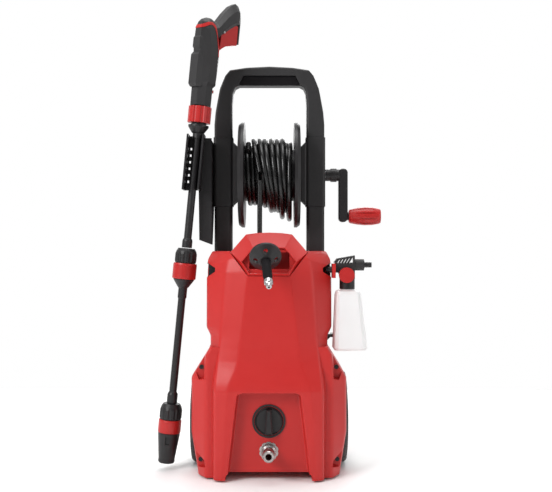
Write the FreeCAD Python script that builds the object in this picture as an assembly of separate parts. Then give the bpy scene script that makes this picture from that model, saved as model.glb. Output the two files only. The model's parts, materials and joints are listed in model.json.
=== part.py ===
import FreeCAD, Part
import math
import os

from FreeCAD import Placement, Rotation, Vector

# Upright electric pressure washer with a hose reel, a spray gun and a foam bottle.
# Millimetres. +Z is up, -Y is the front, and the origin is on the floor, on the
# mirror plane of the machine's casing, below the middle of the casing's depth.

# ---------------------------------------------------------------- driving sizes
WALL = 3.0  # moulded casing wall
GAP = 0.4  # seam between neighbouring mouldings
SPLIT_Y = 60.0  # plane where the front and rear casings meet
REAR_Y = 122.0  # back of the rear casing
DECK_Z = 462.0  # flat top of the casing

WHEEL_R = 100.0
WHEEL_Y = 45.0
WHEEL_X = 150.0  # middle of the tyre's width
WHEEL_WIDTH = 32.0
AXLE_R = 7.0

POST_IN_X = 82.0  # inner face of a handle post
POST_OUT_X = 121.0  # outer face of a handle post
POST_Y = 60.0
POST_DEPTH = 42.0
BRACKET_Z = 560.0  # bottom of the reel brackets
BOW_Z = 712.0  # bottom of the handle bow
HANDLE_TOP_Z = 868.0

REEL_Z = 630.0  # reel axis
REEL_Y = 60.0
FLANGE_R = 116.0
FLANGE_X = 54.6  # inner face of a reel flange
FLANGE_THICK = 12.4  # over the stiffening rings on its outer face
DRUM_R = 57.0
COIL_R = 84.0  # usual outer radius of the wound hose
HOSE_D = 10.5

CRANK_THROW = 91.0
CRANK_KNOB_LENGTH = 70.0
REEL_AXLE_R = 12.0
RUNNING = 0.06  # radial clearance of a running fit

GLAND_AT = (-70.0, REAR_Y, 110.0)  # mains cable gland on the back
HOOK_AT = (84.0, REAR_Y, 268.0)  # swivelling cable hook on the back

LANCE_TILT = 5.5  # degrees, from the vertical, towards the left at the bottom
GUN_TURN = 50.0  # degrees, from the right towards the back
LANCE_TOP = Vector(-145.7, -30.0, 768.0)  # where the gun's barrel meets the lance

KNOB_Z = 119.0
KNOB_R = 28.8
INLET_Z = 58.0

FOAM_X = 162.8  # axis of the foam bottle's neck
FOAM_Y = -58.0
FOAM_Z = 433.7  # axis of the foam lance
SPIGOT_Z = 424.0  # axis of the spigot that holds the foam lance in the shoulder
FOAM_HEAD_HALF = 13.0
FOAM_KNOB_X, FOAM_KNOB_Z = 160.0, 413.0
FOAM_SPINDLE_R = 3.5
BOTTLE_Z = 257.0  # bottom of the foam bottle
BOTTLE_TOP_Z = 382.0

MOTOR_Y = -12.0
MOTOR_R = 60.0

X_AXIS = Vector(1, 0, 0)
Y_AXIS = Vector(0, 1, 0)
Z_AXIS = Vector(0, 0, 1)


# ---------------------------------------------------------------- small helpers
def cylinder(base, axis, radius, length):
    return Part.makeCylinder(radius, length, base, axis)


def ring(base, axis, outer, inner, length):
    return cylinder(base, axis, outer, length).cut(cylinder(base, axis, inner, length))


def cone(base, axis, start_radius, end_radius, length):
    return Part.makeCone(start_radius, end_radius, length, base, axis)


def box(low, high):
    size = Vector(*high) - Vector(*low)
    return Part.makeBox(size.x, size.y, size.z, Vector(*low))


def polygon(points):
    vectors = [Vector(*p) for p in points]
    return Part.makePolygon(vectors + vectors[:1])


def loft(*outlines):
    return Part.makeLoft([polygon(o) for o in outlines], True, True)


def prism_y(outline, front, back):
    """An (x, z) outline carried from y = front to y = back."""
    flat = Part.Face(polygon([(x, front, z) for x, z in outline]))
    return flat.extrude(Vector(0, back - front, 0))


def prism_x(outline, left, right):
    """A (y, z) outline carried from x = left to x = right."""
    flat = Part.Face(polygon([(left, y, z) for y, z in outline]))
    return flat.extrude(Vector(right - left, 0, 0))


def lathe(profile):
    """A closed (radius, height) profile turned about the Z axis."""
    flat = Part.Face(polygon([(r, 0, z) for r, z in profile]))
    return flat.revolve(Vector(0, 0, 0), Z_AXIS, 360)


def both_sides(shape):
    return shape.fuse(mirrored(shape))


def mirrored(shape):
    return shape.mirror(Vector(0, 0, 0), X_AXIS)


def fuse(shapes):
    return shapes[0].multiFuse(shapes[1:]).removeSplitter()


def loose(shapes):
    """Several solids as one compound."""
    return Part.makeCompound(shapes)


def rounded(shape, radius, chosen):
    """The shape with its edges for which chosen(edge) is true rounded off."""
    return shape.makeFillet(radius, [e for e in shape.Edges if chosen(e)])


def runs_along(edge, axis):
    ends = [v.Point for v in edge.Vertexes]
    if len(ends) < 2:
        return False
    way = (ends[1] - ends[0]).normalize()
    return abs(way.dot(axis)) > 0.999


def turned(shape, axis, degrees, centre=Vector(0, 0, 0)):
    copy = shape.copy()
    copy.rotate(centre, axis, degrees)
    return copy


def along(shape, base, axis):
    """A shape made along +Z, laid along an axis from a base point."""
    copy = shape.copy()
    copy.Placement = Placement(base, Rotation(Z_AXIS, axis))
    return copy


def fluted(radius, length, flutes, flute_radius, depth):
    """A cylinder along +Z with round flutes cut along its side."""
    body = cylinder(Vector(0, 0, 0), Z_AXIS, radius, length)
    reach = radius + flute_radius - depth
    cuts = []
    for i in range(flutes):
        angle = 2 * math.pi * i / flutes
        foot = Vector(reach * math.cos(angle), reach * math.sin(angle), -1)
        cuts.append(cylinder(foot, Z_AXIS, flute_radius, length + 2))
    return body.cut(cuts)


def screw(head_radius, head, shank_radius, shank):
    """A pan-head screw along -Z with its head's top at the origin and a cross recess."""
    head_solid = cylinder(Vector(0, 0, -head), Z_AXIS, head_radius, head)
    arm = head_radius * 0.6
    slot = 0.9
    cross = box((-arm, -slot, -head / 2), (arm, slot, 1)).fuse(box((-slot, -arm, -head / 2), (slot, arm, 1)))
    return head_solid.cut(cross).fuse(cylinder(Vector(0, 0, -head - shank), Z_AXIS, shank_radius, shank))


def save(name, shape):
    """Writes one node as STEP, after checking that each of its solids is sound."""
    solids = shape.Solids
    sound = solids and all(s.isValid() and s.Volume > 0 for s in solids)
    print(f"{name:28s} {len(solids):3d} solids {shape.Volume / 1000:9.1f} cm3 {'' if sound else 'NOT SOUND'}")
    out = solids[0] if len(solids) == 1 else Part.makeCompound(solids)
    out.exportStep(f"parts/{name}.step")


# ---------------------------------------------------------------- casing
# Each level of the casing: height, then (half width, depth) of the front panel's edge,
# of the crease beside it, and of the corner where the front turns into the side.
LEVELS = [
    (4.0, (96, -137), (110, -132), (116, -100)),
    (188.0, (84, -140), (110, -133), (118, -98)),
    (234.0, (64, -129), (105, -118), (120, -84)),
    (264.0, (61, -126), (102, -113), (121, -76)),
    (288.0, (58, -125), (99, -110), (121.5, -72)),
    (305.0, (56, -124), (98, -109), (130, -70)),
    (420.0, (43, -120), (88, -105), (130, -64)),
    (446.0, (42, -117), (84, -99), (128, -58)),
    (DECK_Z, (41, -108), (80, -89), (120, -50)),
]
FENDER_LEVELS = [(4.0, 146.0), (30.0, 150.0), (90.0, 160.0), (204.0, 160.0), (266.0, 121.5)]
FENDER_FRONT = -113.0
FENDER_SIDE_Y = -82.0
FENDER_BACK_Y = 114.0
ARCH_R = WHEEL_R + 8.0
SOCKET = [(111, 420), (140, 401), (140, 445), (111, 428)]  # accessory socket in the casing's shoulder
BELLY_Z = 16.0  # underside of the casing between its feet
SCREW_Y = -86.0  # floor of the screw pockets
FRONT_SCREWS = [(138.5, 225.0), (140.0, 36.0)]

RECESS = [(-62, 178), (62, 178), (84, -10), (-84, -10)]  # deep recess on the lower front
RECESS_Y = -114.0

SHOULDER_AT = Vector(77, -86, 460)  # a point on the flat that cuts off the right-hand front shoulder
SHOULDER_WAY = Vector(0.576, -0.473, 0.666)

# The hose guide's hood: its outline where it meets the casing, and the rim of its pocket further forward.
HOOD_TOP = [(48, 497), (26, 500), (0, 501), (-26, 500), (-48, 497)]
HOOD_OUTER = [(-79, 460), (-42, 413), (42, 413), (79, 460)] + HOOD_TOP
HOOD_RIM = [(-57, 441), (-40, 416), (40, 416), (57, 441)]
HOOD_RIM += [(33, 470), (17, 470.6), (0, 471), (-17, 470.6), (-33, 470)]
HOOD_FLOOR = [(-53, 441), (-38, 419), (38, 419), (53, 441)]
HOOD_FLOOR += [(31, 467), (16, 467.6), (0, 468), (-16, 467.6), (-31, 467)]
HOOD_GAP = 1.0  # seam round the hood
HOOD_BACK_Y = -41.0
HOSE_SLOT = [(-40, 426), (42, 426), (42, 460), (-40, 460)]


def grown(outline, by):
    """A convex (x, z) outline moved outwards by a distance on every side."""
    area = sum(ax * bz - bx * az for (ax, az), (bx, bz) in zip(outline, outline[1:] + outline[:1]))
    if area < 0:
        outline = list(reversed(outline))
    count = len(outline)
    lines = []
    for i in range(count):
        (ax, az), (bx, bz) = outline[i], outline[(i + 1) % count]
        size = math.hypot(bx - ax, bz - az)
        nx, nz = (bz - az) / size, -(bx - ax) / size
        lines.append((nx, nz, nx * ax + nz * az + by))
    points = []
    for i in range(count):
        (a, b, c), (d, e, f) = lines[i - 1], lines[i]
        det = a * e - b * d
        points.append(((c * e - b * f) / det, (a * f - c * d) / det))
    return points


def shrunk(outline, by):
    return grown(outline, -by)


def shell_levels(inset):
    return [
        (z, (a[0] - inset, a[1] + inset), (b[0] - inset, b[1] + inset), (c[0] - inset, c[1] + inset))
        for z, a, b, c in LEVELS
    ]


def core(inset, back_y, low, high):
    """The casing without its wheel fenders, from the front to back_y, inset all round."""
    levels = shell_levels(inset)
    outlines = []
    for i, (z, a, b, c) in enumerate(levels):
        z = low if i == 0 else high if i == len(levels) - 1 else z
        half = [a, b, c, (c[0], back_y)]
        outlines.append([(x, y, z) for x, y in half] + [(-x, y, z) for x, y in reversed(half)])
    return loft(*outlines).cut(both_sides(shoulder_flat(inset)))


def shoulder_flat(inset):
    """Everything beyond the flat on the right-hand front shoulder."""
    block = box((-90, -90, 0), (90, 90, 60))
    return along(block, SHOULDER_AT - SHOULDER_WAY * inset, SHOULDER_WAY)


def fender(inset, low):
    """The right-hand fender that stands out round the wheel."""
    outlines = []
    for i, (z, side) in enumerate(FENDER_LEVELS):
        z = low if i == 0 else z - (inset if i == len(FENDER_LEVELS) - 1 else 0)
        side = side - inset
        front = FENDER_FRONT + inset
        corner = FENDER_SIDE_Y + inset
        outlines.append(
            [
                (100, front, z),
                (min(128, side - 0.5), front, z),
                (side - 0.3, corner, z),
                (side, corner + 6, z),
                (side, SPLIT_Y, z),
                (100, SPLIT_Y, z),
            ]
        )
    return loft(*outlines)


def wheel_arch(inset):
    hub = Vector(123.5 - inset, WHEEL_Y, WHEEL_R)
    return cylinder(hub, X_AXIS, ARCH_R + inset, 80)


def screw_pockets(inset):
    upper = grown([(131, 203), (143, 200), (151, 217), (131, 254)], inset)
    lower = grown([(129, 24), (149, 20), (152, 54), (131, 38)], inset)
    pocket_y = SCREW_Y + inset
    return prism_y(upper, -150, pocket_y).fuse(prism_y(lower, -150, pocket_y))


def accessory_socket(inset):
    outline = grown(SOCKET, inset)
    return prism_y(outline, -140, -28 + inset)


def screw_holes():
    return loose([cylinder(Vector(x, SCREW_Y - 5, z), Y_AXIS, 2.4, 40) for x, z in FRONT_SCREWS])


def lower_recess(inset):
    solid = prism_y(grown(RECESS, inset), -170, RECESS_Y + inset)
    return rounded(solid, 10 + inset, lambda e: runs_along(e, Y_AXIS) and e.BoundBox.ZMin > 100)


def post_hole(inset):
    return box(
        (POST_IN_X - inset, POST_Y - POST_DEPTH / 2 - inset, 420),
        (POST_OUT_X + inset, POST_Y + POST_DEPTH / 2 + inset, 480),
    )


def front_casing():
    outer = core(0, SPLIT_Y, 4, DECK_Z).fuse(both_sides(fender(0, 4)))
    inner = core(WALL, SPLIT_Y + 1, -2, DECK_Z - WALL).fuse(both_sides(fender(WALL, -2)))
    arches = both_sides(wheel_arch(0))
    pockets = both_sides(screw_pockets(0).fuse(accessory_socket(0)))
    outer = outer.cut([arches, pockets, lower_recess(0)])
    deep = both_sides(wheel_arch(WALL))
    deep_pockets = both_sides(screw_pockets(WALL).fuse(accessory_socket(WALL)))
    inner = inner.cut([deep, deep_pockets, lower_recess(WALL)])
    shell = outer.cut(inner)
    holes = [
        cylinder(Vector(0, -160, KNOB_Z), Y_AXIS, KNOB_R + 5.5, 60),
        cylinder(Vector(0, -160, INLET_Z), Y_AXIS, 23.4, 60),
        prism_y(grown(HOOD_OUTER, HOOD_GAP), -160, HOOD_BACK_Y),
        box((-42, HOOD_BACK_Y - 1, 440), (2, -12, 480)),
        box((-84, -170, -5), (84, SPLIT_Y + 1, BELLY_Z)),
        both_sides(post_hole(GAP)),
        both_sides(cylinder(Vector(100, WHEEL_Y, WHEEL_R), X_AXIS, AXLE_R + GAP, 40)),
        both_sides(screw_holes()),
    ]
    shell = shell.cut(holes)
    return max(shell.Solids, key=lambda s: s.Volume)


def rear_core(inset, front_y, low, high):
    """The part of the casing behind the split, inset from its sides, back, and ends."""
    outlines = []
    last = len(LEVELS) - 1
    for i, (z, _, _, side) in enumerate(LEVELS):
        z = low if i == 0 else high if i == last else z
        half = side[0] - inset
        back = REAR_Y - inset
        row = [(half, front_y), (half, back - 34), (half - 12, back - 10), (half - 34, back)]
        outlines.append([(x, y, z) for x, y in row] + [(-x, y, z) for x, y in reversed(row)])
    return loft(*outlines)


def rear_fender(inset, front_y, low):
    outlines = []
    for i, (z, side) in enumerate(FENDER_LEVELS):
        z = low if i == 0 else z - (inset if i == len(FENDER_LEVELS) - 1 else 0)
        side = side - inset
        back = FENDER_BACK_Y - inset
        row = [(90, front_y), (side, front_y), (side, back - 10), (side - 10, back), (90, back)]
        outlines.append([(x, y, z) for x, y in row])
    return loft(*outlines)


def rear_vents():
    slots = []
    for i in range(9):
        z = 300 + 13 * i
        slots.append(box((-58, REAR_Y - 8, z), (-4, REAR_Y + 5, z + 6)))
        slots.append(box((4, REAR_Y - 8, z), (58, REAR_Y + 5, z + 6)))
    return loose(slots)


def rear_casing():
    front_y = SPLIT_Y + GAP
    outer = rear_core(0, front_y, 4, DECK_Z).fuse(both_sides(rear_fender(0, front_y, 4)))
    outer = outer.cut(both_sides(wheel_arch(0)))
    inner = rear_core(WALL, front_y - 1, -2, DECK_Z - WALL)
    inner = inner.fuse(both_sides(rear_fender(WALL, front_y - 1, -2)))
    inner = inner.cut(both_sides(wheel_arch(WALL)))
    shell = outer.cut(inner)
    holes = [
        rear_vents(),
        both_sides(post_hole(GAP)),
        box((-84, SPLIT_Y, -5), (84, REAR_Y + 5, BELLY_Z)),
        cylinder(Vector(*GLAND_AT) - Vector(0, 12, 0), Y_AXIS, 9 + GAP, 40),
        cylinder(Vector(*HOOK_AT) - Vector(0, 12, 0), Y_AXIS, 6 + GAP, 40),
    ]
    shell = shell.cut(holes)
    return max(shell.Solids, key=lambda s: s.Volume)


def on_slope(outline, low_y, slope, low_z=413):
    """An (x, z) outline laid on a plane that leans back by the slope as it rises."""
    return [(x, low_y + slope * (z - low_z), z) for x, z in outline]


def ahead_of(low_y, slope):
    """Everything in front of the same kind of plane."""
    near = low_y - 113 * slope
    return prism_x([(-400, 300), (near, 300), (near + 300 * slope, 600), (-400, 600)], -200, 200)


def hood_shape(inset):
    """The hood's outer shape: a wall behind the seam, and facets that run forward to the rim."""
    outer = shrunk(HOOD_OUTER, inset)
    seam_y = -120 + inset
    facets = loft(on_slope(outer, seam_y, 0.69), on_slope(shrunk(HOOD_RIM, inset), -125.5 + inset, 0.52))
    wall = prism_y(outer, -200, HOOD_BACK_Y + (5 if inset else 0)).cut(ahead_of(seam_y, 0.69))
    return wall.fuse(facets)


def hood_pocket(extra):
    """The pocket inside the rim, or with extra the same grown by a wall."""
    rim = grown(HOOD_RIM, extra - 1.5)
    return loft(on_slope(rim, -126.5, 0.52), on_slope(grown(HOOD_FLOOR, extra), -106 + extra, 0.30))


def hose_slot():
    slot = prism_y(HOSE_SLOT, -200, HOOD_BACK_Y + 5)
    return slot.makeFillet(2, [e for e in slot.Edges if runs_along(e, Y_AXIS)])


def hose_guide_cover():
    hollow = hood_shape(WALL).cut(hood_pocket(WALL))
    return hood_shape(0).cut([hollow, hood_pocket(0), hose_slot()])


def base_tray():
    return box((-112, -94, BELLY_Z + 0.4), (112, 108, BELLY_Z + 3.4))


def foot_pads():
    pad = box((88, -107, 0), (114, -78, BELLY_Z))
    pad = pad.makeFillet(5, [e for e in pad.Edges if runs_along(e, Z_AXIS)])
    return loose([pad, mirrored(pad)])


def casing_screws():
    one = turned(screw(4.6, 3.0, 2.0, 14.0), X_AXIS, 90)
    solids = []
    for x, z in FRONT_SCREWS:
        for side in (-1, 1):
            copy = one.copy()
            copy.translate(Vector(side * x, SCREW_Y - 3.0, z))
            solids.append(copy)
    return loose(solids)


# ---------------------------------------------------------------- frame and handle
def rounded_post(low, high, grow):
    """A right-hand post, solid, as a bar of rounded rectangular section."""
    y = POST_DEPTH / 2 + grow
    post = box((POST_IN_X - grow, POST_Y - y, low), (POST_OUT_X + grow, POST_Y + y, high))
    return post.makeFillet(7, [e for e in post.Edges if runs_along(e, Z_AXIS)])


def lower_posts():
    y = POST_DEPTH / 2 - 3
    hollow = box((POST_IN_X + 3, POST_Y - y, 329), (POST_OUT_X - 3, POST_Y + y, BRACKET_Z + 1))
    post = rounded_post(330, BRACKET_Z - GAP, 0).cut(hollow)
    return loose([post, mirrored(post)])


def reel_bracket():
    outer = rounded_post(BRACKET_Z, BOW_Z, 2)
    boss = prism_y([(81, 563), (81, 702), (67, 688), (67, 577)], REEL_Y - 34, REEL_Y + 34)
    boss = boss.makeFillet(4, [e for e in boss.Edges if runs_along(e, Z_AXIS)])
    body = outer.fuse(boss)
    bore = cylinder(Vector(60, REEL_Y, REEL_Z), X_AXIS, REEL_AXLE_R + RUNNING, 80)
    hollow = [
        box((POST_IN_X + 4, 43, BRACKET_Z - 1), (POST_OUT_X - 4, 77, REEL_Z - 26)),
        box((POST_IN_X + 4, 43, REEL_Z + 26), (POST_OUT_X - 4, 77, BOW_Z + 1)),
    ]
    return body.cut([bore] + hollow)


BOW_OUTER = [(121, 740), (118.5, 768), (114, 793), (109, 819), (103, 834), (97, 848), (87, 860), (50, 865.5)]
BOW_INNER = [(66, 826.5), (75, 822), (80, 811), (82, 786)]
GRIP = [(-75, 812), (75, 812), (57, 847.5), (-57, 847.5)]  # the recess in the crossbar's front
GRIP_FLOOR_Y = POST_Y - 13.0


def handle_bow():
    right = [(POST_IN_X, BOW_Z + GAP), (POST_OUT_X, BOW_Z + GAP)] + BOW_OUTER + [(0, HANDLE_TOP_Z)]
    left = [(-x, z) for x, z in reversed(right[:-1])]
    inner = [(-x, z) for x, z in reversed(BOW_INNER)] + BOW_INNER
    bow = prism_y(right + left + inner, POST_Y - POST_DEPTH / 2, POST_Y + POST_DEPTH / 2)
    face = POST_DEPTH / 2 - 0.5
    front_and_back = [
        e for e in bow.Edges if abs(e.BoundBox.YMin - POST_Y) > face and e.BoundBox.ZMax > BOW_Z + 1
    ]
    bow = bow.makeFillet(5, front_and_back)
    hollow = box((POST_IN_X + 4, POST_Y - 17, BOW_Z - 1), (POST_OUT_X - 4, POST_Y + 17, BOW_Z + 60))
    return bow.cut([hollow, mirrored(hollow), prism_y(GRIP, POST_Y - 30, GRIP_FLOOR_Y)])


def handle_grip():
    """The soft pad on the floor of the crossbar's recess."""
    pad = prism_y(shrunk(GRIP, 0.6), GRIP_FLOOR_Y - 3.5, GRIP_FLOOR_Y)
    return pad.common(box((-90, 0, 827), (90, 100, 860)))


def trough_x(z):
    return LANCE_TOP.x - (LANCE_TOP.z - z) * math.tan(math.radians(LANCE_TILT)) - 2.5


def lance_holder():
    low, high = 592.0, 708.0

    def slab(half, front, back, z0, z1):
        a, b = trough_x(z0), trough_x(z1)
        return loft(
            [(a - half, front, z0), (a + half, front, z0), (a + half, back, z0), (a - half, back, z0)],
            [(b - half, front, z1), (b + half, front, z1), (b + half, back, z1), (b - half, back, z1)],
        )

    trough = slab(18, -54, -6, low, high).cut(slab(14.5, -60, -10, low - 1, high + 1))
    slots = []
    for side in (-10, 10):
        for i in range(6):
            z = 608 + 14 * i
            slots.append(box((trough_x(z) + side - 1.8, -20, z), (trough_x(z) + side + 1.8, 0, z + 5)))
    arm = prism_y([(-150, 486), (-123.5, 476), (-123.5, 700), (-140, 684), (-152, 640)], -7, 78)
    hollow = prism_y([(-147, 490), (-126.5, 482), (-126.5, 692), (-139, 680), (-149, 640)], -3, 90)
    arm = arm.cut([hollow, prism_x([(20, 470), (90, 470), (90, 580)], -160, -120)])
    plate = prism_y([(-166, 592), (-123.5, 592), (-123.5, 704), (-150, 704)], -10, -6)
    notch = slab(14.5, -60, -10, 400, 760)
    return trough.cut(slots).fuse([arm, plate]).cut(notch).removeSplitter()


# ---------------------------------------------------------------- running gear
def wheel_axle():
    return cylinder(Vector(-162, WHEEL_Y, WHEEL_R), X_AXIS, AXLE_R, 324)


def wheel_part(profile):
    """A (radius, distance from the wheel's mid-plane outwards) profile turned about the axle."""
    flat = [(WHEEL_X + out, WHEEL_Y, WHEEL_R + r) for r, out in profile]
    face = Part.Face(polygon(flat))
    return face.revolve(Vector(0, WHEEL_Y, WHEEL_R), X_AXIS, 360)


def tyre():
    w = WHEEL_WIDTH / 2
    side = [(83, w - 3), (86, w), (95, w), (99, w - 5), (100, w - 10)]
    rows = side + [(r, -out) for r, out in reversed(side)]
    solid = wheel_part(rows)
    grooves = []
    for i in range(36):
        low = (WHEEL_X - 20, WHEEL_Y - 1.5, WHEEL_R + 98)
        groove = box(low, (WHEEL_X + 20, WHEEL_Y + 1.5, WHEEL_R + 104))
        grooves.append(turned(groove, X_AXIS, 10 * i, Vector(0, WHEEL_Y, WHEEL_R)))
    return solid.cut(grooves)


def wheel_rim():
    hub = AXLE_R + RUNNING
    rows = [(hub, -14), (hub, 9), (16, 9), (16, 2), (72, 2), (72, 11)]
    rows += [(82.8, 11), (82.8, -11), (72, -11), (72, -2), (16, -2), (16, -14)]
    return wheel_part(rows)


def hub_cap():
    inner = [(0, 22), (0, 19), (14, 19), (40, 17.5), (66, 13), (70, 10), (71.6, 10), (71.6, 13)]
    return wheel_part(inner + [(80, 14), (80, 16), (66, 18), (40, 21)])


# ---------------------------------------------------------------- hose reel
def reel_flange():
    """A disc with a stiffening ring near its rim and a hub, both on its outer face."""
    out = FLANGE_X + FLANGE_THICK
    web = FLANGE_X + 6
    hub = [(32, web), (30, out - 1), (REEL_AXLE_R, out - 1), (REEL_AXLE_R, FLANGE_X)]
    stiffener = [(FLANGE_R, web), (FLANGE_R - 5, out), (FLANGE_R - 12, out), (FLANGE_R - 14, web)]
    return along(lathe(hub + [(FLANGE_R, FLANGE_X)] + stiffener), Vector(0, REEL_Y, REEL_Z), X_AXIS)


def reel_drum():
    drum = ring(Vector(-FLANGE_X, REEL_Y, REEL_Z), X_AXIS, DRUM_R, DRUM_R - 4, 2 * FLANGE_X)
    web = ring(Vector(-3, REEL_Y, REEL_Z), X_AXIS, DRUM_R - 2, REEL_AXLE_R, 6)
    return drum.fuse(web)


def reel_axle():
    return cylinder(Vector(-118, REEL_Y, REEL_Z), X_AXIS, REEL_AXLE_R, 118 + 150)


def hose_coil():
    """The space the wound hose takes up, with two slack turns hanging below."""
    low = FLANGE_X - 1

    def turns(left, right, radius, drop):
        return cylinder(Vector(left, REEL_Y, REEL_Z - drop), X_AXIS, radius, right - left)

    solid = turns(-low, -36, 68, 0).fuse([turns(-36, low, COIL_R, 0), turns(14, 44, COIL_R - 2, 22)])
    core_hole = cylinder(Vector(-100, REEL_Y, REEL_Z), X_AXIS, DRUM_R + 0.4, 200)
    return solid.cut(core_hole).removeSplitter()


def crank_arm():
    base = Vector(123.6, REEL_Y, REEL_Z)
    collar = cylinder(base, X_AXIS, 13, 33)
    band = cylinder(base + Vector(12, 0, 0), X_AXIS, 15, 13)
    bore = cylinder(base - Vector(1, 0, 0), X_AXIS, REEL_AXLE_R, 28)
    top = REEL_Z + 14
    low = REEL_Z - CRANK_THROW - 13
    arm = box((153, REEL_Y - 12, low), (173, REEL_Y + 12, top))
    arm = arm.makeFillet(9, [e for e in arm.Edges if runs_along(e, Y_AXIS)])
    arm = arm.makeChamfer(2, [e for e in arm.Edges if runs_along(e, Z_AXIS)])
    pin = cylinder(Vector(170, REEL_Y, REEL_Z - CRANK_THROW), X_AXIS, 4, CRANK_KNOB_LENGTH + 2)
    washer = cylinder(Vector(170, REEL_Y, REEL_Z - CRANK_THROW), X_AXIS, 9, 5.5)
    return fuse([arm, washer, pin, collar, band]).cut(bore)


def crank_knob():
    start = Vector(176, REEL_Y, REEL_Z - CRANK_THROW)
    bore, end = 4 + RUNNING, CRANK_KNOB_LENGTH
    profile = [(bore, 0), (13.5, 0), (15.5, 3), (18.5, 18), (20, 34), (19.5, 52), (17, 66)]
    profile += [(15, end), (6, end), (6, end - 3), (bore, end - 3)]
    knob = along(lathe(profile), start, X_AXIS)
    grooves = []
    for i in range(10):
        low = start + Vector(8, -1.6, 17.6)
        cut = box(low, low + Vector(end - 16, 3.2, 6.4))
        grooves.append(turned(cut, X_AXIS, 36 * i, start))
    return knob.cut(grooves)


# ---------------------------------------------------------------- hose end
EXIT_WAY = Vector(0.077, -0.826, -0.558).normalize()
STOPPER_AT = Vector(-6.1, -150.0, 448.5)
LEAD = [
    Vector(-20, -30.5, 612),
    Vector(-20, -30.5, 474),
    Vector(-17, -58, 450),
    Vector(-12, -92, 453),
    STOPPER_AT - EXIT_WAY * 26,
    STOPPER_AT + EXIT_WAY * 11,
]


def cord_tube(points, diameter):
    """A cord's solid: straight runs joined by tangent arcs."""
    edges = []
    radii = []
    last = points[0]
    for i in range(1, len(points) - 1):
        before = points[i - 1] - points[i]
        after = points[i + 1] - points[i]
        turn = math.pi - before.getAngle(after)
        reach = 0.45 * min(before.Length, after.Length)
        radii.append(reach / math.tan(turn / 2))
        way_in = Vector(before).normalize()
        way_out = Vector(after).normalize()
        start = points[i] + way_in * reach
        end = points[i] + way_out * reach
        middle_way = (way_in + way_out).normalize()
        corner = radii[-1] / math.cos(turn / 2)
        middle = points[i] + middle_way * (corner - radii[-1])
        edges.append(Part.makeLine(last, start))
        edges.append(Part.Arc(start, middle, end).toShape())
        last = end
    edges.append(Part.makeLine(last, points[-1]))
    print(f"cord radii mm: {', '.join(f'{r:.0f}' for r in radii)}; length {sum(e.Length for e in edges):.0f}")
    wire = Part.Wire(edges)
    section = Part.Wire([Part.makeCircle(diameter / 2, points[0], points[1] - points[0])])
    return wire.makePipeShell([section], True, False)


def hose_stopper():
    """A holed cone that stops the hose's end from being wound in."""
    profile = [(9.8, 6), (28, -6.5), (29, -9), (32, -9), (32, -3.5), (30.5, -2), (13, 12.5), (9.8, 12.5)]
    hole = cylinder(Vector(20, 0, -20), Z_AXIS, 5.0, 60)
    cup = lathe(profile).cut([turned(hole, Z_AXIS, 90 * i) for i in range(4)])
    frame = Rotation(Vector(1, 0, 0), Vector(0, 1, 0), EXIT_WAY, "ZXY")
    copy = cup.copy()
    copy.Placement = Placement(STOPPER_AT, frame)
    return copy


def hose_sleeve():
    profile = [(5.6, -1), (9.4, -1), (9.4, 60), (8.8, 68), (8.8, 74), (5.6, 74)]
    return along(lathe(profile), STOPPER_AT, EXIT_WAY)


def hose_nipple():
    ball = [(8.4, 74.5), (9.2, 77), (9.2, 82), (8.2, 86), (6.6, 88.5)]
    profile = [(2, 68), (5.2, 68), (5.2, 74.5)] + ball + [(6.2, 91), (5.6, 95), (4.6, 96), (2, 96)]
    return along(lathe(profile), STOPPER_AT, EXIT_WAY)


# ---------------------------------------------------------------- power unit
def motor_housing():
    body = cylinder(Vector(0, MOTOR_Y, 152), Z_AXIS, MOTOR_R, 170)
    body = body.makeFillet(6, [e for e in body.Edges if e.BoundBox.ZMin > 300])
    fins = []
    for i in range(16):
        fin = box((MOTOR_R - 2, MOTOR_Y - 1.2, 170), (MOTOR_R + 4, MOTOR_Y + 1.2, 300))
        fins.append(turned(fin, Z_AXIS, 22.5 * i, Vector(0, MOTOR_Y, 0)))
    bore = cylinder(Vector(0, MOTOR_Y, 140), Z_AXIS, 8 + RUNNING, 220)
    return body.fuse(fins).cut(bore)


def motor_rotor():
    """The shaft with the cooling fan fixed on its upper end."""
    shaft = cylinder(Vector(0, MOTOR_Y, 156), Z_AXIS, 8, 194)
    hub = cylinder(Vector(0, MOTOR_Y, 330), Z_AXIS, 16, 16)
    blades = []
    for i in range(9):
        blade = box((14, MOTOR_Y - 1.2, 331), (52, MOTOR_Y + 1.2, 345))
        blades.append(turned(blade, Z_AXIS, 40 * i, Vector(0, MOTOR_Y, 0)))
    return fuse([shaft, hub] + blades)


def pump_head():
    block = box((-42, MOTOR_Y - 42, 36), (42, MOTOR_Y + 42, 95.6))
    block = block.makeFillet(10, [e for e in block.Edges if runs_along(e, Z_AXIS)])
    feet = [box((x - 7, MOTOR_Y - 30, BELLY_Z + 3.8), (x + 7, MOTOR_Y + 30, 36)) for x in (-30, 30)]
    caps = []
    for i in range(3):
        a = math.radians(30 + 120 * i)
        caps.append(Vector(22 * math.cos(a), MOTOR_Y + 22 * math.sin(a), 28))
    plugs = [cylinder(at, Z_AXIS, 9, 10) for at in caps]
    inlet = cylinder(Vector(0, MOTOR_Y - 62, INLET_Z), Y_AXIS, 15, 24)
    passage = cylinder(Vector(0, MOTOR_Y - 80, INLET_Z), Y_AXIS, 8, 60)
    outlet = cylinder(Vector(-52, MOTOR_Y + 10, 66), X_AXIS, 12, 16)
    bell = cone(Vector(0, MOTOR_Y, 95), Z_AXIS, 44, 58, 56.4)
    well = cylinder(Vector(0, MOTOR_Y, 104), Z_AXIS, 36, 60)
    return block.fuse(feet + plugs + [inlet, outlet, bell]).cut([passage, well])


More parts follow.
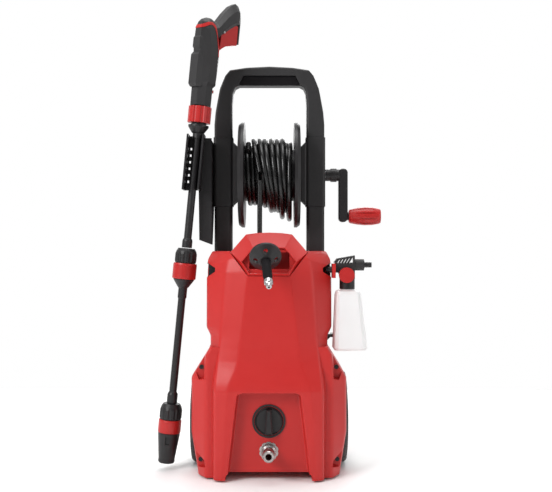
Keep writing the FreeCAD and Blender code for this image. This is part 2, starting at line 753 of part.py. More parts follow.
def inlet_union():
    """A fluted union in the casing's front with a push-on water connector."""
    y = RECESS_Y - 9
    grip = along(fluted(19.5, 10, 10, 4.0, 1.4), Vector(0, y + 17, INLET_Z), -Y_AXIS)
    neck = cylinder(Vector(0, y + 9, INLET_Z), -Y_AXIS, 15, 10)
    stem = cylinder(Vector(0, MOTOR_Y - 62.4, INLET_Z), -Y_AXIS, 14, 36)
    collar = [(0, 0), (15, 0), (15, 5), (11.6, 8), (11.6, 20)]
    rows = collar + [(10.4, 22), (10.4, 27), (11.7, 29), (11.7, 40), (10, 42), (0, 42)]
    nose = along(lathe(rows), Vector(0, y, INLET_Z), -Y_AXIS)
    passage = cylinder(Vector(0, y - 60, INLET_Z), Y_AXIS, 6.5, 200)
    return fuse([grip, neck, stem, nose]).cut(passage)


def outlet_pipe():
    """The hose from the pump up to the reel's swivel, inside the left post."""
    y = MOTOR_Y + 10
    route = [Vector(-53.6, y, 66), Vector(-86, y, 72), Vector(-104, 8, 104), Vector(-105, 26, 156)]
    route += [Vector(-102, 45, 236), Vector(-101, 60, 336), Vector(-101, 60, 600)]
    return cord_tube(route, 11)


def switch_box():
    case = box((-24, RECESS_Y + 4, KNOB_Z - 24), (24, -84, KNOB_Z + 24))
    spindle_hole = cylinder(Vector(0, -130, KNOB_Z), Y_AXIS, 5 + RUNNING, 40)
    return case.cut(spindle_hole)


def switch_bezel():
    dish = ring(Vector(0, RECESS_Y - 2.5, KNOB_Z), Y_AXIS, KNOB_R + 5, KNOB_R + 1.5, 5.9)
    floor = ring(Vector(0, RECESS_Y + 3.4 - 2, KNOB_Z), Y_AXIS, KNOB_R + 5, 5.6, 2)
    return dish.fuse(floor)


def switch_knob():
    y = RECESS_Y + 0.6
    rows = [(0, 0), (KNOB_R, 0), (KNOB_R, 4), (KNOB_R - 2, 6), (KNOB_R - 4, 4.5), (0, 4.5)]
    disc = along(lathe(rows), Vector(0, y, KNOB_Z), -Y_AXIS)
    bar = prism_y([(-5, KNOB_Z + 25), (5, KNOB_Z + 25), (8, KNOB_Z - 25), (-8, KNOB_Z - 25)], y - 19, y - 2)
    bar = bar.makeChamfer(2.5, [e for e in bar.Edges if e.BoundBox.YMax < y - 18])
    spindle = cylinder(Vector(0, y - 1, KNOB_Z), Y_AXIS, 5, 22)
    return fuse([disc, bar, spindle])


def cable_gland():
    at = Vector(*GLAND_AT)
    flange = cylinder(at + Vector(0, 0.4, 0), Y_AXIS, 15, 5)
    neck = cylinder(at - Vector(0, 10, 0), Y_AXIS, 9, 14)
    boot = cone(at + Vector(0, 5, 0), Y_AXIS, 9, 6, 26)
    return fuse([flange, neck, boot])


def cable_hook():
    """A swivelling hook on a pivot, with a rib under its arm."""
    at = Vector(*HOOK_AT)
    reach = 63
    pivot = cylinder(at - Vector(0, 9, 0), Y_AXIS, 6, 12)
    boss = cylinder(at + Vector(0, 0.4, 0), Y_AXIS, 12, 12)
    arm = box((at.x, at.y + 2, at.z - 4), (at.x + reach, at.y + 10, at.z + 3))
    lip = box((at.x + reach - 6, at.y + 2, at.z - 4), (at.x + reach, at.y + 40, at.z + 3))
    rib = [(0, -3), (56, -3), (28, -31), (0, -11)]
    rib = prism_y([(at.x + x, at.z + z) for x, z in rib], at.y + 3, at.y + 9)
    return fuse([pivot, boss, arm, lip, rib])


# ---------------------------------------------------------------- spray gun and lance
def gun_frame():
    """Local X runs along the grip's side, local Z up the barrel, from LANCE_TOP."""
    tilt = Rotation(Y_AXIS, LANCE_TILT)
    return Placement(LANCE_TOP, tilt.multiply(Rotation(Z_AXIS, GUN_TURN)))


def on_gun(shape):
    copy = shape.copy()
    copy.Placement = gun_frame()
    return copy


def along_lance(shape):
    """A shape made along the Z axis, laid along the lance from LANCE_TOP."""
    return along(shape, LANCE_TOP, Rotation(Y_AXIS, LANCE_TILT).multVec(Z_AXIS))


def on_lance(profile):
    return along_lance(lathe(profile))


# Barrel levels: height, then the middle, half depth and half width of an eight-sided section.
BARREL = [(1, 0, 21.5, 21.5), (43, 0, 22, 22), (49, 2.2, 26, 25), (106, 3, 28, 25.5), (128, 2, 28, 24.5),
          (148, -1, 26, 22), (163, -3, 24, 20), (176, -3, 20, 16), (183, -2.5, 15, 11), (187, -2, 8, 6)]
# Grip levels: distance from the barrel, bottom, top and half width of an eight-sided section.
GRIP_LEVELS = [(0, 136, 172, 15), (20, 143, 184, 16), (38, 156, 208, 16), (56, 168, 228, 15.5),
               (70, 177, 237, 15), (80, 182, 234, 14), (87, 188, 216, 10)]
# The red band between the gun's two shells, seen from the side.
BAND_UPPER = [(-36, 165), (-24, 170), (-14, 176), (-3, 178), (7, 171), (13.5, 152), (17.5, 118), (17.5, 107)]
BAND_LOWER = [(13, 107), (12.5, 117), (8.5, 149), (3, 165), (-4, 171.5), (-13, 169.5), (-22, 164), (-34, 159)]
TRIGGER_AT = (36.0, 166.0)  # the trigger's pin
TRIGGER_HALF = 11.0


def octagon(half_a, half_b):
    """The corners of an eight-sided section with sides facing along both of its axes."""
    return [(half_a * math.cos(math.radians(a)) / math.cos(math.radians(22.5)),
             half_b * math.sin(math.radians(a)) / math.cos(math.radians(22.5))) for a in range(22, 360, 45)]


def gun_form(grow):
    """The barrel and the grip, with their sections grown all round."""
    barrel = loft(*[[(middle + x, y, z) for x, y in octagon(depth + grow, half + grow)]
                    for z, middle, depth, half in BARREL])
    grip = loft(*[[(x, y, (low + high) / 2 + z) for y, z in octagon(half + grow, (high - low) / 2 + grow)]
                  for x, low, high, half in GRIP_LEVELS])
    return barrel.fuse(grip)


def gun_pad(low, high, reach, half):
    """A raised pad down the barrel's side that faces away from the grip."""
    foot, inner = -18, half + 5
    full = [(foot, -inner), (-reach, -half), (-reach, half), (foot, inner)]
    end = [(foot, 1 - inner), (4 - reach, 1 - half), (4 - reach, half - 1), (foot, inner - 1)]
    levels = [(low, end), (low + 5, full), (high - 6, full), (high, end)]
    return loft(*[[(x, y, z) for x, y in outline] for z, outline in levels])


def band_groove(grow):
    return prism_y(BAND_UPPER + BAND_LOWER, -40, 40).common(gun_form(grow)).cut(gun_form(-2))


def gun_shell():
    lip = box((84.2, -9, 152), (88.5, 9, 204))
    body = gun_form(0).fuse([gun_pad(39, 111, 31, 11), gun_pad(117, 147, 29.5, 10), lip])
    pocket = prism_y([(27.5, 115), (28, 178), (40, 184), (58, 191), (74, 200), (84.2, 201), (84.2, 130)],
                     -TRIGGER_HALF - 0.6, TRIGGER_HALF + 0.6)
    pin = cylinder(Vector(TRIGGER_AT[0], -30, TRIGGER_AT[1]), Y_AXIS, 2.6, 60)
    tube = cylinder(Vector(0, 0, -10), Z_AXIS, 9.4, 60)
    return on_gun(body.cut([pocket, pin, tube, band_groove(3)]))


def gun_pin():
    return on_gun(cylinder(Vector(TRIGGER_AT[0], -15.6, TRIGGER_AT[1]), Y_AXIS, 2.5, 31.2))


def gun_trigger():
    x, z = TRIGGER_AT
    upper = [(31, 150), (31, 174), (42, 178), (58, 182), (74, 190), (80, 189.5)]
    lower = [(80.5, 148), (57, 142), (46, 138), (36, 131), (29, 125)]
    lever = prism_y(upper + lower, -TRIGGER_HALF, TRIGGER_HALF)
    bore = cylinder(Vector(x, -20, z), Y_AXIS, 2.5 + RUNNING, 40)
    return on_gun(lever.cut(bore))


def gun_trim():
    """The red band let into the gun's body, and a small red button low on its side."""
    side = Vector(1, -1, 0).normalize()
    button = cylinder(side * 22.05 + Vector(0, 0, 34), side, 3.2, 2.4)
    return on_gun(loose([band_groove(0.8), button]))


def lance_nut():
    solid = fluted(24.4, 34, 10, 6, 2.2)
    bore = cylinder(Vector(0, 0, -1), Z_AXIS, 9.4, 60)
    return on_axis(solid.cut(bore), -35)


def on_axis(shape, start):
    """A shape made along +Z, with its base at a distance up the lance's axis."""
    way = Rotation(Y_AXIS, LANCE_TILT).multVec(Z_AXIS)
    return along(shape, LANCE_TOP + way * start, way)


def lance_cone():
    cone_rows = [(10.5, -58), (14, -55), (21.7, -43.5), (21.7, -40), (16, -39), (16, -36)]
    return on_lance([(8.6, -68), (10.5, -68)] + cone_rows + [(9.4, -36), (9.4, -50), (8.6, -50)])


def lance_tube_upper():
    """The upper tube, with the collar moulded onto its lower end."""
    collar = [(5.5, -300), (10.8, -300), (10.8, -286), (9.8, -282), (8.2, -280)]
    return on_lance(collar + [(8.2, -51), (5.5, -51)])


def bell_nut(radius, length, bore):
    """A fluted nut along +Z with a domed upper end and an eased lower end."""
    rows = [(bore, 0), (radius - 1.6, 0), (radius, 4), (radius, length * 0.62), (radius - 2, length * 0.82),
            (radius - 5.5, length), (bore, length)]
    return fluted(radius, length, 12, 4.6, 1.8).common(lathe(rows))


def lance_mid_nut():
    return on_axis(bell_nut(22.8, 31, 8.6), -332.4)


def lance_mid_ring():
    return on_lance([(8.6, -366), (24, -366), (24.9, -364), (24.9, -336), (24, -333), (8.6, -333)])


def lance_tube_lower():
    """The lower tube, with the cone and the collar moulded onto its ends."""
    collar = [(5.4, -640), (8, -640), (8, -630), (11, -630), (11, -612), (9.6, -608), (8, -606)]
    top = [(8, -408), (9.4, -406), (9.4, -386), (12, -383), (22, -368), (22, -366.6), (5.4, -366.6)]
    return on_lance(collar + top)


def nozzle_nut():
    """The fluted nut on the lance's end, with the fixed stub that the nozzle turns on."""
    nut = on_axis(bell_nut(23.3, 33, 8.3), -664)
    barrel = [(2, -742), (10, -742), (10, -694), (8.3, -694), (8.3, -663)]
    stub = on_lance(barrel + [(12, -663), (12, -650), (8.3, -650), (8.3, -644), (2, -644)])
    return nut.fuse(stub)


def nozzle_ring():
    return on_lance([(8.6, -692), (23.4, -692), (24, -690), (24, -667), (23.4, -664.6), (8.6, -664.6)])


def nozzle_body():
    inner = 10 + RUNNING
    tip = [(inner, -752), (16, -756), (17.5, -753), (17.2, -747)]
    sleeve = lathe(tip + [(22.9, -697), (22.9, -693), (inner, -693)])
    latch = box((-4.5, -30, -716), (4.5, -17, -699))
    return along_lance(sleeve.cut(latch))


# ---------------------------------------------------------------- foam bottle
def foam_bracket():
    """The plate beside the shoulder, with a tongue into the accessory socket and a hole for the spigot."""
    plate = box((130.8, FOAM_Y - 26, 407), (137.4, FOAM_Y + 14, 436.5))
    tongue = box((118.5, FOAM_Y + 13, 417), (132, FOAM_Y + 24, 430))
    return plate.fuse(tongue).cut(cylinder(Vector(100, FOAM_Y, SPIGOT_Z), X_AXIS, 7.0, 60)).removeSplitter()


def foam_head():
    top = [(137.8, 420.5), (137.8, 437.5), (134.5, 438.5), (141.5, 447), (178, 453.5)]
    outline = top + [(178, 404.6), (147.5, 404.6), (146.8, 413), (143, 419)]
    body = prism_y(outline, FOAM_Y - FOAM_HEAD_HALF, FOAM_Y + FOAM_HEAD_HALF)
    low, width = 437.5, 3.4
    slots = []
    for i in range(5):
        x, top = 141.5 + 6.2 * i, 444.2 + 1.1 * i
        lean = 0.6 * (top - low)
        outline = [(x, low), (x + width, low), (x + width + lean, top), (x + lean, top)]
        slots.append(prism_y(outline, FOAM_Y - 20, FOAM_Y + 20))
    slots.append(prism_y([(170, 438.5), (175.5, 438.5), (175.5, 449.5)], FOAM_Y - 20, FOAM_Y + 20))
    spindle = cylinder(Vector(FOAM_KNOB_X, FOAM_Y, FOAM_KNOB_Z), -Y_AXIS, FOAM_SPINDLE_R, 31)
    spigot = cylinder(Vector(119, FOAM_Y, SPIGOT_Z), X_AXIS, 6.6, 30)
    stem = cylinder(Vector(FOAM_X, FOAM_Y, 392), Z_AXIS, 12, 14)
    riser = cylinder(Vector(FOAM_X, FOAM_Y, 380), Z_AXIS, 3.4, 45)
    return fuse([body.cut(slots), spindle, spigot, stem]).cut(riser)


def foam_knob():
    base = Vector(FOAM_KNOB_X, FOAM_Y - 16.5, FOAM_KNOB_Z)
    knob = along(fluted(16, 16, 30, 1.4, 0.5), base, -Y_AXIS)
    return knob.cut(cylinder(base + Vector(0, 1, 0), -Y_AXIS, FOAM_SPINDLE_R + RUNNING, 16))


def foam_barrel():
    """The jet at the head's end, with a ribbed tip."""
    rows = [(4, 0), (11.9, 0), (11.9, 19.4), (9, 20.4), (5.7, 21)]
    for i in range(4):
        start = 23 + 3.2 * i
        rows += [(5.7, start), (5.1, start + 0.4), (5.1, start + 1.2), (5.7, start + 1.6)]
    return along(lathe(rows + [(5.7, 35.5), (4, 35.5)]), Vector(178, FOAM_Y, FOAM_Z), X_AXIS)


def foam_cap():
    rows = [(12.4, 20.6), (15.9, 20.6), (15.9, 0), (14.6, 0), (14.6, 16.6), (12.4, 16.6)]
    cap = lathe(rows)
    cap.translate(Vector(FOAM_X, FOAM_Y, 383.7))
    return cap


def bottle_form(inset):
    """The bottle's outer shape, wider to the right than to the left, or the hollow inside it."""
    low, high = BOTTLE_Z + inset, BOTTLE_TOP_Z - inset
    levels = [(low, 136, 200, 24), (low + 5, 132.6, 203.8, 28), (high - 10, 137.5, 190.5, 26)]
    levels += [(high - 3, 140, 187.5, 24), (high, 145, 181, 18)]
    outlines = []
    for z, left, right, half in levels:
        middle, wide = (left + right) / 2, (right - left) / 2 - inset
        deep = half - inset
        cut_x, cut_y = wide * 0.3, deep * 0.5
        quarter = [(wide, deep - cut_y), (wide - 0.3 * cut_x, deep - 0.3 * cut_y), (wide - cut_x, deep)]
        half_line = quarter + [(-x, y) for x, y in reversed(quarter)]
        line = half_line + [(-x, -y) for x, y in half_line]
        outlines.append([(middle + x, FOAM_Y + y, z) for x, y in line])
    return loft(*outlines)


def foam_bottle():
    neck = cylinder(Vector(FOAM_X, FOAM_Y, 378), Z_AXIS, 14.2, 22)
    bore = cylinder(Vector(FOAM_X, FOAM_Y, 360), Z_AXIS, 12.2, 60)
    return bottle_form(0).fuse(neck).cut([bottle_form(1.8), bore])


def foam_tube():
    return ring(Vector(FOAM_X, FOAM_Y, 268), Z_AXIS, 3.2, 2.2, 140)


NODES = {
    "front_casing": front_casing,
    "rear_casing": rear_casing,
    "hose_guide_cover": hose_guide_cover,
    "base_tray": base_tray,
    "foot_pads": foot_pads,
    "casing_screws": casing_screws,
    "lower_posts": lower_posts,
    "bracket_right": reel_bracket,
    "bracket_left": lambda: mirrored(reel_bracket()),
    "handle_bow": handle_bow,
    "handle_grip": handle_grip,
    "lance_holder": lance_holder,
    "wheel_axle": wheel_axle,
    "tyre_right": tyre,
    "tyre_left": lambda: mirrored(tyre()),
    "wheel_rim_right": wheel_rim,
    "wheel_rim_left": lambda: mirrored(wheel_rim()),
    "hub_cap_right": hub_cap,
    "hub_cap_left": lambda: mirrored(hub_cap()),
    "reel_flange_right": reel_flange,
    "reel_flange_left": lambda: mirrored(reel_flange()),
    "reel_drum": reel_drum,
    "reel_axle": reel_axle,
    "hose_coil": hose_coil,
    "crank_arm": crank_arm,
    "crank_knob": crank_knob,
    "hose_lead": lambda: cord_tube(LEAD, HOSE_D),
    "hose_stopper": hose_stopper,
    "hose_sleeve": hose_sleeve,
    "hose_nipple": hose_nipple,
    "motor_housing": motor_housing,
    "motor_rotor": motor_rotor,
    "pump_head": pump_head,
    "inlet_union": inlet_union,
    "outlet_pipe": outlet_pipe,
    "switch_box": switch_box,
    "switch_bezel": switch_bezel,
    "switch_knob": switch_knob,
    "cable_gland": cable_gland,
    "cable_hook": cable_hook,
    "foam_bracket": foam_bracket,
    "foam_head": foam_head,
    "foam_barrel": foam_barrel,
    "foam_knob": foam_knob,
    "foam_cap": foam_cap,
    "foam_bottle": foam_bottle,
    "foam_tube": foam_tube,
    "gun_shell": gun_shell,
    "gun_pin": gun_pin,
    "gun_trigger": gun_trigger,
    "gun_trim": gun_trim,
    "lance_nut": lance_nut,
    "lance_cone": lance_cone,
    "lance_tube_upper": lance_tube_upper,
    "lance_mid_nut": lance_mid_nut,
    "lance_mid_ring": lance_mid_ring,
    "lance_tube_lower": lance_tube_lower,
    "nozzle_nut": nozzle_nut,
    "nozzle_ring": nozzle_ring,
    "nozzle_body": nozzle_body,
}


def build():
    os.makedirs("parts", exist_ok=True)
    print(len(NODES), "nodes")
    for name, make in NODES.items():
        save(name, make())


build()
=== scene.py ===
import json
import math

import bmesh
import bpy
from mathutils import Matrix, Vector


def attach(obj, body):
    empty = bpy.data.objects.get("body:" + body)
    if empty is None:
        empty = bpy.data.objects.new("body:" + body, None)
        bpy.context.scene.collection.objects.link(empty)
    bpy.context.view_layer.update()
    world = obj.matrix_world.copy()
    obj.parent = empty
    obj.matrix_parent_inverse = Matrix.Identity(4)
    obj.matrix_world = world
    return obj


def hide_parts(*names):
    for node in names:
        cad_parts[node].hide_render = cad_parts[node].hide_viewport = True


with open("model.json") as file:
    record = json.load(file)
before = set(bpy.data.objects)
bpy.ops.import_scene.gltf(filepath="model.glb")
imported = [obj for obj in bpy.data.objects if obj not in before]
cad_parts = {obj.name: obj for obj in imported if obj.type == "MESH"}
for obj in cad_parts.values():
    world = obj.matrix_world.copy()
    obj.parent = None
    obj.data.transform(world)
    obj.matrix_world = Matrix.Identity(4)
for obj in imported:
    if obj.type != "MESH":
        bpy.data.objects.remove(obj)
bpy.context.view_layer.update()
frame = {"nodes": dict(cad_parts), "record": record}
nodes = frame["nodes"]

# The upright pressure washer's looks. Metres, in the CAD's frame: +Z up, -Y to the front.
MM = 0.001

HOSE_D = 10.5 * MM
REEL = Vector((0.0, 0.060, 0.630))  # the middle of the reel's axle
SPLIT_Y = 60.0  # mm, where the front casing meets the rear one
SMOOTH_CAD = 30  # degrees, the widest angle between two faces of a CAD node that still shade as one
SMOOTH_SHELL = 32


# ---------------------------------------------------------------- helpers
def piece(name, mesh, body, material, smooth=35):
    """A named object from a finished mesh, riding on a body."""
    obj = bpy.data.objects.new(name, mesh)
    bpy.context.scene.collection.objects.link(obj)
    mesh.materials.append(material)
    shade(mesh, smooth)
    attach(obj, body)
    return obj


def shade(mesh, angle):
    """Smooth shading, with sharp edges where faces meet at more than an angle."""
    mesh.polygons.foreach_set("use_smooth", [True] * len(mesh.polygons))
    mesh.set_sharp_from_angle(angle=math.radians(angle))


def mesh_from(name, build):
    """A mesh made by build(bm), with its normals outwards."""
    bm = bmesh.new()
    build(bm)
    bmesh.ops.recalc_face_normals(bm, faces=bm.faces)
    mesh = bpy.data.meshes.new(name)
    bm.to_mesh(mesh)
    bm.free()
    return mesh


def skin(bm, rings):
    """Faces between rings of the same number of vertices, closed at the first and the last ring."""
    for a, b in zip(rings, rings[1:]):
        for i in range(len(a)):
            j = (i + 1) % len(a)
            bm.faces.new((a[i], a[j], b[j], b[i]))
    bm.faces.new(rings[0])
    bm.faces.new(rings[-1])


def circle(radius, steps):
    """Points round a circle, as (first, second) coordinates."""
    turn = [2 * math.pi * k / steps for k in range(steps)]
    return [(radius * math.cos(a), radius * math.sin(a)) for a in turn]


def axis_frame(base, axis):
    """The matrix that lays +Z along an axis from a base point."""
    z = Vector(axis).normalized()
    x = Vector((0, 0, 1)).cross(z)
    if x.length < 1e-4:
        x = Vector((1, 0, 0))
    x.normalize()
    y = z.cross(x)
    return Matrix.Translation(base) @ Matrix((x, y, z)).transposed().to_4x4()


def cut(obj, cutters):
    """Takes the cutters' shapes out of obj, and removes the cutters."""
    for cutter in cutters:
        mod = obj.modifiers.new("cut", "BOOLEAN")
        mod.operation = "DIFFERENCE"
        mod.solver = "EXACT"
        mod.object = cutter
    graph = bpy.context.evaluated_depsgraph_get()
    mesh = bpy.data.meshes.new_from_object(obj.evaluated_get(graph))
    obj.modifiers.clear()
    obj.data = mesh
    for cutter in cutters:
        bpy.data.objects.remove(cutter)


def cutter_from(build):
    """An object to cut with, from a mesh made by build(bm)."""
    obj = bpy.data.objects.new("cutter", mesh_from("cutter", build))
    bpy.context.scene.collection.objects.link(obj)
    return obj


def prism(outline, front, back):
    """A cutter: an (x, z) outline in mm, carried along Y."""
    def build(bm):
        near = [bm.verts.new((x * MM, front * MM, z * MM)) for x, z in outline]
        far = [bm.verts.new((x * MM, back * MM, z * MM)) for x, z in outline]
        skin(bm, [near, far])
    return cutter_from(build)


def drum_cutter(centre, radius, left, right, steps=96):
    """A cutter: a cylinder along X, all in mm."""
    def build(bm):
        rings = []
        for x in (left, right):
            points = [(x, centre[0] + y, centre[1] + z) for y, z in circle(radius, steps)]
            rings.append([bm.verts.new(Vector(at) * MM) for at in points])
        skin(bm, rings)
    return cutter_from(build)


def beyond(point, way):
    """A cutter: a block over everything beyond a plane, given by a point in mm and a direction."""
    size = 0.2

    def build(bm):
        bmesh.ops.create_cube(bm, size=size)
        bm.transform(axis_frame(Vector(point) * MM, way) @ Matrix.Translation((0, 0, size / 2)))
    return cutter_from(build)


def grown(outline, by):
    """A convex (x, z) outline, counter-clockwise, moved outwards by a distance on every side."""
    points = []
    for i, corner in enumerate(outline):
        here = Vector(corner)
        before = Vector(outline[i - 1])
        after = Vector(outline[(i + 1) % len(outline)])
        a, b = (here - before).normalized(), (after - here).normalized()
        out_a, out_b = Vector((a.y, -a.x)), Vector((b.y, -b.x))
        way = out_a + out_b
        points.append(tuple(here + way * (by / (1 + out_a.dot(out_b)))))
    return points


# ---------------------------------------------------------------- camera
def camera():
    """Level, straight ahead and a little to the right of the machine's middle."""
    data = bpy.data.cameras.new("camera")
    data.lens = 57.3
    data.sensor_width = 36
    data.clip_start = 0.05
    obj = bpy.data.objects.new("camera", data)
    obj.location = (0.0145, -1.891, 0.473)
    obj.rotation_euler = (math.radians(90), 0, 0)
    bpy.context.scene.collection.objects.link(obj)
    bpy.context.scene.camera = obj
    bpy.context.scene.view_settings.view_transform = "Standard"


camera()


# ---------------------------------------------------------------- materials
ROUGH_SPREAD = 0.08
DUST = (0.42, 0.39, 0.36, 1)


def finish(name, colour, rough, metallic=0.0, grain=900.0, grain_depth=0.05, mottle=0.12, patch=28.0,
           dust=0.0, gleam=0.5):
    """A moulded, painted or metal surface: colour that wanders, uneven gloss and a fine relief.

    grain and patch are the scales of the relief and of the colour's clouds, gleam is the specular level.
    """
    mat = bpy.data.materials.new(name)
    mat.use_nodes = True
    tree = mat.node_tree
    add = tree.nodes.new
    link = tree.links.new
    shader = tree.nodes["Principled BSDF"]
    shader.inputs["Metallic"].default_value = metallic
    shader.inputs["Specular IOR Level"].default_value = gleam
    coords = add("ShaderNodeTexCoord").outputs["Object"]

    cloud = add("ShaderNodeTexNoise")
    cloud.inputs["Scale"].default_value = patch
    cloud.inputs["Detail"].default_value = 5
    link(coords, cloud.inputs["Vector"])
    tint = add("ShaderNodeMix")
    tint.data_type = "RGBA"
    tint.inputs["A"].default_value = (*[c * (1 - mottle) for c in colour], 1)
    tint.inputs["B"].default_value = (*[min(1, c * (1 + mottle) + 0.002) for c in colour], 1)
    link(cloud.outputs["Fac"], tint.inputs["Factor"])
    colour_out = tint.outputs["Result"]

    if dust > 0:
        speck = add("ShaderNodeTexNoise")
        speck.inputs["Scale"].default_value = 9
        speck.inputs["Detail"].default_value = 8
        speck.inputs["Roughness"].default_value = 0.7
        link(coords, speck.inputs["Vector"])
        level = add("ShaderNodeMapRange")
        level.inputs["From Min"].default_value = 0.5
        level.inputs["From Max"].default_value = 0.75
        level.inputs["To Max"].default_value = dust
        link(speck.outputs["Fac"], level.inputs["Value"])
        dusty = add("ShaderNodeMix")
        dusty.data_type = "RGBA"
        dusty.inputs["B"].default_value = DUST
        link(level.outputs["Result"], dusty.inputs["Factor"])
        link(colour_out, dusty.inputs["A"])
        colour_out = dusty.outputs["Result"]
    link(colour_out, shader.inputs["Base Color"])

    haze = add("ShaderNodeTexNoise")
    haze.inputs["Scale"].default_value = patch * 2.3
    haze.inputs["Detail"].default_value = 6
    link(coords, haze.inputs["Vector"])
    gloss = add("ShaderNodeMapRange")
    gloss.inputs["To Min"].default_value = max(0.03, rough - ROUGH_SPREAD)
    gloss.inputs["To Max"].default_value = min(1.0, rough + ROUGH_SPREAD)
    link(haze.outputs["Fac"], gloss.inputs["Value"])
    link(gloss.outputs["Result"], shader.inputs["Roughness"])

    relief = add("ShaderNodeTexNoise")
    relief.inputs["Scale"].default_value = grain
    relief.inputs["Detail"].default_value = 3
    link(coords, relief.inputs["Vector"])
    bump = add("ShaderNodeBump")
    bump.inputs["Strength"].default_value = grain_depth
    bump.inputs["Distance"].default_value = 0.0004
    link(relief.outputs["Fac"], bump.inputs["Height"])
    link(bump.outputs["Normal"], shader.inputs["Normal"])
    return mat


def milky_plastic(name):
    """The blown bottle's translucent wall."""
    mat = finish(name, (0.84, 0.83, 0.83), 0.34, grain=60, grain_depth=0.02, mottle=0.02, patch=12)
    shader = mat.node_tree.nodes["Principled BSDF"]
    shader.inputs["Subsurface Weight"].default_value = 0.35
    shader.inputs["Subsurface Radius"].default_value = (0.010, 0.009, 0.009)
    return mat


RED = finish("red_moulding", (0.50, 0.016, 0.014), 0.40, grain=1400, grain_depth=0.03, mottle=0.03,
             gleam=0.4)
RED_TRIM = finish("red_trim", (0.44, 0.013, 0.012), 0.36, grain=1100, grain_depth=0.04, mottle=0.06,
                  gleam=0.4)
FRAME = finish("frame_black", (0.019, 0.018, 0.019), 0.50, grain=1500, grain_depth=0.14, mottle=0.15,
               dust=0.01, gleam=0.4)
BLACK = finish("black_moulding", (0.011, 0.010, 0.011), 0.42, grain=1300, grain_depth=0.10, mottle=0.15,
               dust=0.01, gleam=0.4)
GREY = finish("grey_moulding", (0.022, 0.021, 0.022), 0.48, grain=1300, grain_depth=0.12, mottle=0.12,
              dust=0.01, gleam=0.4)
SOFT = finish("soft_rubber", (0.006, 0.005, 0.006), 0.72, grain=2200, grain_depth=0.2, mottle=0.12,
              gleam=0.12)
TYRE = finish("tyre", (0.035, 0.034, 0.034), 0.70, grain=700, grain_depth=0.3, mottle=0.2, dust=0.15)
HUB = finish("wheel_disc", (0.74, 0.71, 0.68), 0.36, grain=900, grain_depth=0.05, mottle=0.04,
             dust=0.05)
HOSE = finish("hose_rubber", (0.006, 0.006, 0.006), 0.28, grain=1600, grain_depth=0.04, mottle=0.2,
              gleam=0.55)
CHROME = finish("chrome", (0.46, 0.46, 0.47), 0.24, metallic=1.0, grain=90, grain_depth=0.01, mottle=0.03)
NICKEL = finish("nickel", (0.40, 0.37, 0.36), 0.28, metallic=1.0, grain=300, grain_depth=0.03, mottle=0.08)
STEEL = finish("steel", (0.48, 0.48, 0.49), 0.32, metallic=1.0, grain=700, grain_depth=0.08, mottle=0.08)
SCREW = finish("black_screw", (0.02, 0.02, 0.02), 0.40, metallic=0.4, grain=900, grain_depth=0.08)
ALLOY = finish("cast_alloy", (0.50, 0.50, 0.51), 0.50, metallic=1.0, grain=500, grain_depth=0.3, mottle=0.08)
MOTOR = finish("motor_paint", (0.05, 0.05, 0.055), 0.5, grain=500, grain_depth=0.2)
BOTTLE = milky_plastic("bottle_plastic")
FLOOR = finish("floor", (0.93, 0.93, 0.93), 0.7, grain=120, grain_depth=0.02, mottle=0.01, patch=3)

SLOT_FINISH = {
    "red_shell": RED, "red_trim": RED_TRIM, "black_frame": FRAME, "black_soft": SOFT, "black_plastic": BLACK,
    "grey_plastic": GREY, "tyre": TYRE, "hub": HUB, "hose": HOSE, "chrome": CHROME, "nickel": NICKEL,
    "steel": STEEL, "black_screw": SCREW, "motor_paint": MOTOR, "cast_alloy": ALLOY, "clear_bottle": BOTTLE,
}


def dress_cad_nodes():
    """Every CAD node takes the finish of its slot in the record."""
    for row in frame["record"]["subparts"]:
        obj = nodes[row["node"]]
        obj.data.materials.clear()
        obj.data.materials.append(SLOT_FINISH[row["material_slot"]])
        shade(obj.data, SMOOTH_CAD)


dress_cad_nodes()


# ---------------------------------------------------------------- light and floor
LIT = (0, 0, 0.45)  # where the studio's lamps point, about the machine's middle


def area(name, at, size, power, aim=LIT):
    """A rectangular lamp, in watts, pointed at a place."""
    data = bpy.data.lights.new(name, "AREA")
    data.shape = "RECTANGLE"
    data.size, data.size_y = size
    data.energy = power
    obj = bpy.data.objects.new(name, data)
    obj.location = at
    obj.rotation_euler = (Vector(aim) - Vector(at)).to_track_quat("-Z", "Y").to_euler()
    bpy.context.scene.collection.objects.link(obj)


def backdrop():
    """A white backdrop behind the machine, and a dimmer room in front of it."""
    world = bpy.data.worlds.new("world")
    world.use_nodes = True
    tree = world.node_tree
    way = tree.nodes.new("ShaderNodeTexCoord")
    split = tree.nodes.new("ShaderNodeSeparateXYZ")
    tree.links.new(way.outputs["Generated"], split.inputs["Vector"])
    level = tree.nodes.new("ShaderNodeMapRange")
    level.inputs["From Min"].default_value = -0.3
    level.inputs["From Max"].default_value = 0.75
    level.inputs["To Min"].default_value = 0.32
    level.inputs["To Max"].default_value = 1.0
    tree.links.new(split.outputs["Y"], level.inputs["Value"])
    tree.links.new(level.outputs["Result"], tree.nodes["Background"].inputs["Strength"])
    tree.nodes["Background"].inputs["Color"].default_value = (1, 1, 1, 1)
    bpy.context.scene.world = world


